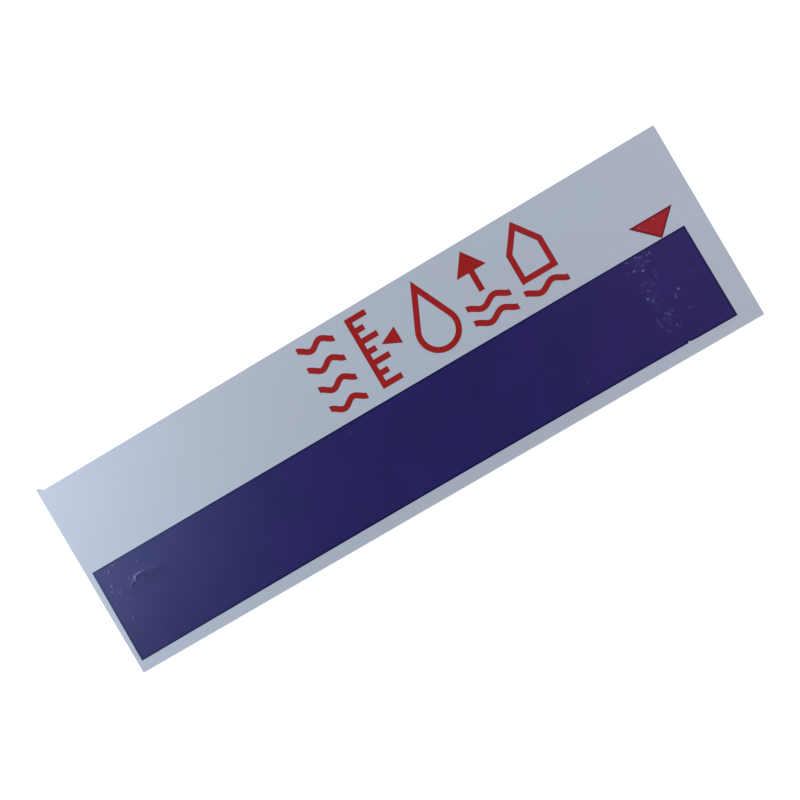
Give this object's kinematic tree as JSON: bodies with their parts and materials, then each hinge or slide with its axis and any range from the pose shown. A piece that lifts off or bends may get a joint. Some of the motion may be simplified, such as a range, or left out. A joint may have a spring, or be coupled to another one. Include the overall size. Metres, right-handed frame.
{
  "type": "flood level marker sign",
  "caption": "Long flat sheet sign faced with white film, with a dark blue band, a red pointer at the band's top edge and red water pictograms. Fixed by its back.",
  "frame": {"origin": "middle of the plate's flat back, on the face that is fixed to a wall or pier", "axes": "+X along the sign the way it is read, +Y up the sign, +Z out of its face"},
  "size_m": [1, 0.303, 0.0025],
  "materials": {
    "sheet_aluminium": "mill finish, rolled along its length, with light handling scuffs",
    "white_film": "cool white sign film, smooth, soft gloss",
    "blue_film": "dark violet blue cut film, soft gloss, with small air bubbles and a crease",
    "red_film": "deep red cut film, soft gloss"
  },
  "bodies": {
    "root": {"base_plate": "sheet_aluminium", "white_face_film": "white_film", "blue_band_film": "blue_film", "red_pointer_film": "red_film", "waves_mark": "red_film", "gauge_mark": "red_film", "drop_mark": "red_film", "rising_mark": "red_film", "house_mark": "red_film"}
  },
  "joints": []
}
